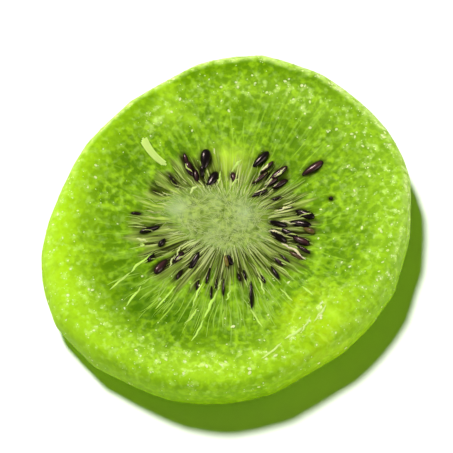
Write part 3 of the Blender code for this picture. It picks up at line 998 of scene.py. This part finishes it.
# Broad pale fibres: direction of the inner and of the outer end, distances of both and half width before
# the widening in millimetres, and how cream rather than green
STREAKS = (
    (260, 256, 7.5, 11.2, 0.17, 0.0),
    (256, 254, 11.6, 14.4, 0.12, 0.0),
    (262, 260, 6.2, 7.6, 0.12, 0.2),
    (271, 268, 7.4, 8.7, 0.15, 0.0),
    (246, 247, 7.0, 10.4, 0.13, 0.0),
    (251, 248, 10.2, 12.6, 0.12, 0.0),
    (230, 231, 9.0, 12.6, 0.11, 0.0),
    (298, 295, 6.7, 8.8, 0.12, 0.2),
    (283, 286, 10.0, 12.6, 0.12, 0.0),
    (318, 316, 10.5, 12.3, 0.14, 0.0),
    (307, 307, 9.0, 11.4, 0.12, 0.0),
    (282, 291, 16.5, 15.3, 0.15, 0.25),
    (293, 302, 15.0, 14.8, 0.2, 0.25),
    (300, 307, 15.2, 14.3, 0.12, 0.25),
    (307, 316, 15.0, 14.4, 0.16, 0.3),
    (229, 228, 11.1, 11.6, 0.2, 0.12),
    (193, 192, 9.3, 9.8, 0.22, 0.12),
    (200, 207, 8.8, 12.0, 0.16, 0.0),
    (207, 211, 12.0, 15.0, 0.12, 0.0),
    (217, 221, 11.8, 14.6, 0.13, 0.0),
    (209, 215, 6.7, 7.9, 0.10, 0.5),
    (202, 213, 5.6, 6.9, 0.10, 0.5),
    (190, 188, 8.9, 10.1, 0.16, 0.5),
    (353, 350, 4.3, 6.0, 0.13, 1.0),
    (342, 335, 5.9, 9.1, 0.15, 1.0),
    (7, 4, 5.1, 7.1, 0.12, 0.8),
    (21, 19, 5.2, 7.2, 0.10, 0.8),
    (49, 48, 7.7, 9.1, 0.10, 0.8),
    (53, 51, 6.4, 7.3, 0.13, 1.0),
    (56, 49, 4.9, 6.4, 0.12, 0.9),
    (63, 60, 6.9, 8.9, 0.10, 0.8),
    (89, 81, 6.7, 8.0, 0.16, 0.1),
    (89, 81, 4.8, 5.9, 0.14, 0.2),
    (100, 100, 8.7, 9.5, 0.10, 0.6),
    (102, 98, 5.3, 6.9, 0.12, 0.1),
    (139, 126, 5.8, 5.8, 0.18, 0.4),
)


# %% Paths of the fibres
def ray_path(draw, angle, start, end):
    """Shares and angles along a slightly bent and wavy way out from the core."""
    bend, wave, phase = draw.uniform(-0.05, 0.05), draw.uniform(0, 0.004), draw.uniform(0, 6)
    steps = 9
    path = []
    for step in range(steps + 1):
        part = step / steps
        off = bend * math.sin(2.5 * part) + wave * math.sin(9 * part + phase)
        path.append((start + (end - start) * part, angle + off))
    return path


def felt_path(draw):
    """Shares and angles along a short curl on the core."""
    share, angle = 0.28 * math.sqrt(draw.random()), draw.uniform(0, 2 * math.pi)
    way = draw.uniform(0, 2 * math.pi) if share < FRINGE else angle + draw.uniform(-0.6, 0.6)
    length = draw.uniform(0.02, 0.07)
    middle = share * np.array([math.cos(angle), math.sin(angle)])
    path = []
    for step in range(5):
        x, y = middle + length * (step / 4 - 0.5) * np.array([math.cos(way), math.sin(way)])
        way += draw.uniform(-0.12, 0.12)
        path.append((math.hypot(x, y), math.atan2(y, x)))
    return path


def streak_path(inner_way, outer_way, inner, outer):
    """Shares and angles from one place to another, wandering a little."""
    spots = [(0.22 * i, 0.37 * inner_way, 0.37 * outer_way) for i in range(STREAK_STEPS)]
    drift = [(noise.noise((x, y, z + 0.5)), noise.noise((x, y, z + 50.5))) for x, y, z in spots]
    wander = STREAK_WANDER * np.array(drift)
    distances = np.linspace(inner, outer, STREAK_STEPS) * MM + wander[:, 0]
    angles = np.radians(np.linspace(inner_way, outer_way, STREAK_STEPS)) + wander[:, 1] / distances
    return [(share_at(d, a), a) for a, d in zip(angles, distances)]


def fibre_paths():
    """Each fibre: its face, path and half width, how far it rises in half widths, whether it crosses seeds,
    how pale it is, a tone by chance, and whether its ends are blunt."""
    draw = random.Random(FIBRE_SEED)
    fibres = []

    def lay(side, path, half_width, rise=-0.35, over=False, pale=0, blunt=False):
        fibres.append((side, path, half_width, rise, over, pale, draw.random(), blunt))

    for side in (1, -1):
        for i in range(RAY_FIBRES):
            angle = 2 * math.pi * (i + draw.uniform(-0.5, 0.5)) / RAY_FIBRES
            start = draw.uniform(0.2, 0.4)
            path = ray_path(draw, angle, start, start + draw.uniform(0.04, 0.16))
            half_width = draw.choice((0.04, 0.06, 0.08, 0.1, 0.13)) * MM
            lay(side, path, half_width, rise=-0.7, over=draw.random() < 0.22)
        for _ in range(LONG_FIBRES):
            start = draw.uniform(0.39, 0.54)
            path = ray_path(draw, draw.gauss(LONG_WAY, LONG_SPREAD), start, start + draw.uniform(0.08, 0.22))
            lay(side, path, draw.uniform(0.06, 0.15) * MM, rise=-0.8)
        for _ in range(FELT_FIBRES):
            lay(side, felt_path(draw), draw.uniform(0.015, 0.03) * MM)
    for *ends, half_width, cream in STREAKS:
        path = streak_path(*ends)
        half_width = STREAK_WIDENING * half_width * MM
        lay(1, path, half_width, rise=-0.65, over=cream > 0.4, pale=0.8 - 0.3 * cream)
    direction, inner, outer, half_width = SLIVER
    for strand in np.linspace(-1, 1, SLIVER_STRANDS):
        ragged_end = draw.uniform(0, SLIVER_RAGGED) * MM
        path = []
        for distance in np.linspace(inner + ragged_end, outer - 0.8 * ragged_end, 12):
            bow = SLIVER_BOW * math.sin(math.pi * (distance - inner) / (outer - inner))
            spread = half_width * (0.6 + 0.6 * (distance - inner) / (outer - inner))
            angle = math.radians(direction) + (strand * spread + bow) / distance
            path.append((share_at(distance, angle), angle))
        lay(1, path, 0.15 * MM, rise=-0.35, pale=draw.uniform(0.88, 1.0), blunt=True)
    return fibres


def fibre_object(paths):
    """One mesh of loose edges for all paths."""
    points, edges = [], []
    labels = ("thickness", "side", "rise", "over", "pale", "tone", "outward")
    rows = []
    for side, path, half_width, rise, over, pale, tone, blunt in paths:
        share, angle = np.array(path).T
        radius = real_radius(share, angle)
        edges += [(len(points) + i, len(points) + i + 1) for i in range(len(path) - 1)]
        for step in range(len(path)):
            x, y = radius[step] * math.cos(angle[step]), radius[step] * math.sin(angle[step])
            points.append((x + shift.x, y + shift.y, 3 * MM))
            to_end = (min(step, len(path) - 1 - step) + 0.3) / len(path)
            uneven = 1 + 0.4 * noise.noise((0.55 * step, 40 * tone, side))
            taper = 1.0 if blunt else uneven * min(1.0, 3 * to_end) ** 0.6
            rows.append((half_width * taper, side, rise, over, pale, tone, share[step]))
    return points_object("fibre_paths", points, edges, **dict(zip(labels, zip(*rows))))


# %% Tree that lays the fibres
def fibre_tree(material):
    tree, given = new_tree("lay_fibres", {"Sides": 6})

    # Rays start 20 mm off the face that the fibre lies on, and look back at it
    place = add(tree, "GeometryNodeInputPosition")[0]
    sockets = {0: (0, 0, 20 * MM), "Scale": stored(tree, "side")}
    above = add(tree, "ShaderNodeVectorMath", sockets, operation="SCALE")[0]
    start = add(tree, "ShaderNodeVectorMath", {0: place, 1: above}, operation="ADD")[0]
    back = add(tree, "ShaderNodeVectorMath", {0: above, "Scale": -1.0}, operation="SCALE")[0]
    ray = {"Source Position": start, "Ray Direction": back, "Ray Length": 50 * MM}
    skin = add(tree, "GeometryNodeObjectInfo", {"Object": flesh})["Geometry"]
    coats = add(tree, "GeometryNodeObjectInfo", {"Object": kiwi_seeds})["Geometry"]
    both = add(tree, "GeometryNodeJoinGeometry")[0]
    for part in (skin, coats):
        tree.links.new(part, both.node.inputs[0])
    rise = reckon(tree, "MULTIPLY", "thickness", "rise")
    spots = []
    for ground in (skin, both):
        hit = add(tree, "GeometryNodeRaycast", ray | {"Target Geometry": ground})
        sockets = {0: hit["Hit Normal"], "Scale": rise}
        raised = add(tree, "ShaderNodeVectorMath", sockets, operation="SCALE")[0]
        sockets = {0: hit["Hit Position"], 1: raised}
        spots.append(add(tree, "ShaderNodeVectorMath", sockets, operation="ADD")[0])
    sockets = {"Switch": stored(tree, "over"), "False": spots[0], "True": spots[1]}
    spot = add(tree, "GeometryNodeSwitch", sockets, input_type="VECTOR")[0]
    laid = add(tree, "GeometryNodeSetPosition", {"Geometry": given["Geometry"], "Position": spot})[0]
    curve = add(tree, "GeometryNodeMeshToCurve", {"Mesh": laid})[0]
    profile = add(tree, "GeometryNodeCurvePrimitiveCircle", {"Resolution": given["Sides"], "Radius": 1.0})[0]
    width = stored(tree, "thickness")
    sockets = {"Curve": curve, "Profile Curve": profile, "Scale": width, "Fill Caps": True}
    tube = add(tree, "GeometryNodeCurveToMesh", sockets)[0]
    smooth = add(tree, "GeometryNodeSetShadeSmooth", {"Geometry": tube})[0]
    close_tree(tree, smooth, material)
    return tree


# %% Fibre
def kiwi_fibre():
    """Dry plant fibre, matt and a little translucent: whitish on the core, olive to pale round it, greener
    further out. The broad ones are yellow-green, or cream among the seeds."""
    made, tree = start_material("kiwi_fibre")
    outward = stored(tree, "outward")
    sockets = {"Value": outward, "From Min": 0.35, "From Max": 0.55}
    greener = add(tree, "ShaderNodeMapRange", sockets)[0]
    sockets = {"Value": outward, "From Min": 0.32, "From Max": 0.24}
    felted = add(tree, "ShaderNodeMapRange", sockets)[0]
    pale = stored(tree, "pale")
    streak = add(tree, "ShaderNodeValToRGB", {"Fac": pale})[0]
    stops = streak.node.color_ramp.elements
    stops[0].position = 0.5
    stops.new(0.8)
    for stop, colour in zip(stops, ("#D8D0A0", "#B8E458", "#D2F678")):
        stop.color = linear(colour)
    is_streak = reckon(tree, "GREATER_THAN", pale, 0.4)
    layers = (("#CCD87E", "tone"), ("#92C02C", greener), ("#B6CA72", felted), (streak, is_streak))
    sockets = {
        "Base Color": paint(tree, "#6E802A", *layers),
        "Roughness": 0.5,
        "Specular IOR Level": 0.3,
        "Subsurface Weight": 0.4,
        "Subsurface Radius": (0.7, 1.0, 0.3),
        "Subsurface Scale": 0.5 * MM,
    }
    end_material(tree, sockets)
    return made


# %% Lay the fibres
paths = fibre_object(fibre_paths())
kiwi_fibres = object_of("kiwi_fibres", run_tree(paths, fibre_tree(kiwi_fibre()), "kiwi_fibres"))
bpy.data.objects.remove(paths)
show_size(kiwi_fibres)

# %% [markdown]
# ## Sugar
#
# The slice is dusted with fine sugar, grains of 0.1 to 0.4 mm that have half melted into flat crumbs. They
# lie thickest along the crest of the rim, and none lie on the core or among the seeds. They cake in clumps of
# less than a millimetre, and these are the spots that the flesh's material makes pale, because both read the
# same noise. The tree scatters points over the flesh, sets a small crumb on each, and turns and stretches
# every crumb by chance, so that some facet always catches the light.


# %% Tree that dusts the flesh
def sugar_tree(material):
    sizes = {"Grains to the square metre": 2.4e7, "Smallest": 0.1 * MM, "Largest": 0.4 * MM, "Seed": 7}
    tree, given = new_tree("dust_sugar", sizes)
    place = add(tree, "GeometryNodeInputPosition")[0]

    def less(amount, name):
        """What is left of an amount where the stored number is 1."""
        return reckon(tree, "SUBTRACT", 1.0, reckon(tree, "MULTIPLY", name, amount))

    # Grains lie where sugar has settled and cakes, but not near the table, on the core or among the seeds
    clumps = add(tree, "ShaderNodeTexNoise", {"Vector": place, "Scale": 1 / CLUMP_SIZE, "Detail": 2.0})[0]
    sockets = {"Value": clumps, "From Min": 0.56, "From Max": 0.7, "To Min": 0.04}
    patchy = add(tree, "ShaderNodeMapRange", sockets)[0]
    height = add(tree, "ShaderNodeSeparateXYZ", {0: place})["Z"]
    sockets = {"Value": height, "From Min": 0.3 * MM, "From Max": 1.2 * MM}
    off_table = add(tree, "ShaderNodeMapRange", sockets)[0]
    off_core = reckon(tree, "MULTIPLY", less(1.0, "core"), less(1.0, "zone"))
    settled = reckon(tree, "MULTIPLY", "frost", patchy, off_table, off_core, less(0.7, "wrinkled"))
    density = reckon(tree, "MULTIPLY", settled, given["Grains to the square metre"])
    sockets = {"Mesh": given["Geometry"], "Density": density, "Seed": given["Seed"]}
    dots = add(tree, "GeometryNodeDistributePointsOnFaces", sockets)

    # Each is turned, leant, sized and flattened by chance, and most are small
    sockets = {"Min": (-0.3, -0.3, 0), "Max": (0.3, 0.3, 6.28), "Seed": given["Seed"]}
    angles = add(tree, "FunctionNodeRandomValue", sockets, data_type="FLOAT_VECTOR")[0]
    lean = add(tree, "FunctionNodeEulerToRotation", {0: angles})[0]
    sockets = {"Rotation": dots["Rotation"], "Rotate By": lean}
    turn = add(tree, "FunctionNodeRotateRotation", sockets, rotation_space="LOCAL")[0]
    chance = add(tree, "FunctionNodeRandomValue", {"Seed": given["Seed"]}, data_type="FLOAT")[1]
    few_large = reckon(tree, "POWER", chance, 5.0)
    sockets = {"Value": few_large, "To Min": given["Smallest"], "To Max": given["Largest"]}
    size = add(tree, "ShaderNodeMapRange", sockets)[0]
    sockets = {"Min": (0.7, 0.8, 0.2), "Max": (1.1, 1.6, 0.4), "Seed": given["Seed"]}
    flattened = add(tree, "FunctionNodeRandomValue", sockets, data_type="FLOAT_VECTOR")[0]
    scale = add(tree, "ShaderNodeVectorMath", {0: flattened, "Scale": size}, operation="SCALE")[0]
    crumb = add(tree, "GeometryNodeMeshIcoSphere", {"Radius": 0.5, "Subdivisions": 1})["Mesh"]
    sockets = {"Points": dots["Points"], "Instance": crumb, "Rotation": turn, "Scale": scale}
    close_tree(tree, add(tree, "GeometryNodeInstanceOnPoints", sockets)[0], material)
    return tree


# %% Make the sugar
def sugar_grain():
    """Fine sugar, half melted in syrup: pale crumbs, dull and translucent, which take the flesh's green."""
    made, tree = start_material("sugar_grain")
    place = add(tree, "ShaderNodeTexCoord")["Object"]
    spots = add(tree, "ShaderNodeTexNoise", {"Vector": place, "Scale": 1 / (0.8 * MM)})[0]
    sockets = {
        "Base Color": paint(tree, "#BCE850", ("#F0FCB4", spots)),
        "Roughness": 0.5,
        "IOR": 1.5,
        "Specular IOR Level": 0.2,
        "Subsurface Weight": 0.5,
        "Subsurface Radius": (0.7, 1.0, 0.4),
        "Subsurface Scale": 0.5 * MM,
    }
    end_material(tree, sockets)
    return made


sugar = object_of("sugar_grains", run_tree(flesh, sugar_tree(sugar_grain()), "sugar_grains"))
show_size(sugar)

# %% [markdown]
# ## Join the pieces to the frame
#
# All four pieces stand for the one solid of the frame and move with its one body.

# %% Ride and replace
SLOTS = {flesh: "candied_flesh", kiwi_seeds: "kiwi_seed", kiwi_fibres: "kiwi_core", sugar: "sugar"}
for piece, slot in SLOTS.items():
    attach(piece, "root")
    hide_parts("kiwi_slice")

# %% [markdown]
# ## Floor, light and camera
#
# The slice lies on a plain white table, in clear light from the back left that throws a crisp shadow to the
# front right. In the light the table is pure white, and a lamp that strong would bleach the slice. So the two
# have lamps of their own, and light linking keeps them apart: a round lamp, two soft fills and a dome for the
# slice, and a sun from the same side for the table. Light that has passed through the slice comes out green,
# so a weak green sun without shadows tints what the other one leaves dark. The surround is white where the
# camera sees it, and gives next to no light.
#
# The camera looks down at the slice from 66 degrees above the table, which shows as much of its wall and of
# its upper face as the view needs.

# %% Table
FLOOR_HALF = 1.2


def table_paper():
    """Matt white paper, faintly uneven."""
    made, tree = start_material("white_table_paper")
    place = add(tree, "ShaderNodeTexCoord")["Object"]
    spots = add(tree, "ShaderNodeTexNoise", {"Vector": place, "Scale": 1 / (40 * MM)})[0]
    end_material(tree, {"Base Color": paint(tree, "#F4F4F2", ("#FAFAFA", spots)), "Roughness": 0.9})
    return made


bpy.ops.mesh.primitive_plane_add(size=2 * FLOOR_HALF)
floor = bpy.context.object
floor.name = "table"
floor.data.materials.append(table_paper())

# %% Lamps
LAMP_PLACE = Vector((-0.17, 0.23, 0.45))
ABOVE = Vector((0, 0, 1))
LAMP_SIZE, FILL_SIZE = 0.12, 0.3
SLICE_LAMP_POWER, TABLE_SUN_POWER, DOME_POWER, GLOW_POWER = 3.0, 4.6, 0.55, 0.45
TABLE_SUN_WIDTH = 10
FILLS = {"left_fill": (Vector((-0.3, -0.2, 0.2)), 0.35), "right_fill": (Vector((0.3, -0.2, 0.16)), 0.8)}
SURROUND = 0.012


def lamp(name, kind, place, power, objects, **settings):
    """A lamp at a place, or a sun from its side, that looks at the slice and lights only these objects."""
    made = bpy.data.objects.new(name, bpy.data.lights.new(name, kind))
    made.data.energy = power
    for setting, value in settings.items():
        setattr(made.data, setting, value)
    made.location = place
    made.rotation_euler = (-place).to_track_quat("-Z", "Y").to_euler()
    bpy.context.scene.collection.objects.link(made)
    lit = bpy.data.collections.new(f"lit_by_{name}")
    for obj in objects:
        lit.objects.link(obj)
    made.light_linking.receiver_collection = lit


lamp("slice_lamp", "AREA", LAMP_PLACE, SLICE_LAMP_POWER, SLOTS, shape="DISK", size=LAMP_SIZE)
for name, (place, power) in FILLS.items():
    lamp(name, "AREA", place, power, SLOTS, shape="DISK", size=FILL_SIZE)
lamp("table_sun", "SUN", LAMP_PLACE, TABLE_SUN_POWER, [floor], angle=math.radians(TABLE_SUN_WIDTH))
lamp("soft_dome", "SUN", ABOVE, DOME_POWER, SLOTS, angle=math.pi)
green = {"color": linear("#B8FF00")[:3], "use_shadow": False}
lamp("green_glow", "SUN", ABOVE, GLOW_POWER, [floor], angle=math.radians(1), **green)

world = bpy.data.worlds.new("white_surround")
world.use_nodes = True
world.node_tree.nodes.clear()
seen = add(world.node_tree, "ShaderNodeLightPath")["Is Camera Ray"]
strength = add(world.node_tree, "ShaderNodeMapRange", {"Value": seen, "To Min": SURROUND})[0]
surround = add(world.node_tree, "ShaderNodeBackground", {"Color": "#FFFFFF", "Strength": strength})[0]
add(world.node_tree, "ShaderNodeOutputWorld", {"Surface": surround})
bpy.context.scene.world = world
print("lamps:", len(bpy.data.lights))

# %% Camera
CAMERA_ELEVATION = 66
CAMERA_DISTANCE, VIEW_WIDTH = 0.45, 49 * MM
SENSOR = 36.0

camera = bpy.data.objects.new("camera", bpy.data.cameras.new("camera"))
target = (Vector(low) + Vector(high)) / 2
raised = math.radians(CAMERA_ELEVATION)
camera.location = target + CAMERA_DISTANCE * Vector((0, -math.cos(raised), math.sin(raised)))
camera.rotation_euler = Euler((math.pi / 2 - raised, 0, 0))
camera.data.sensor_width = SENSOR
camera.data.lens = SENSOR * CAMERA_DISTANCE / VIEW_WIDTH
bpy.context.scene.collection.objects.link(camera)
bpy.context.scene.camera = camera
bpy.context.scene.view_settings.view_transform = "Standard"
print("lens, mm:", round(camera.data.lens))
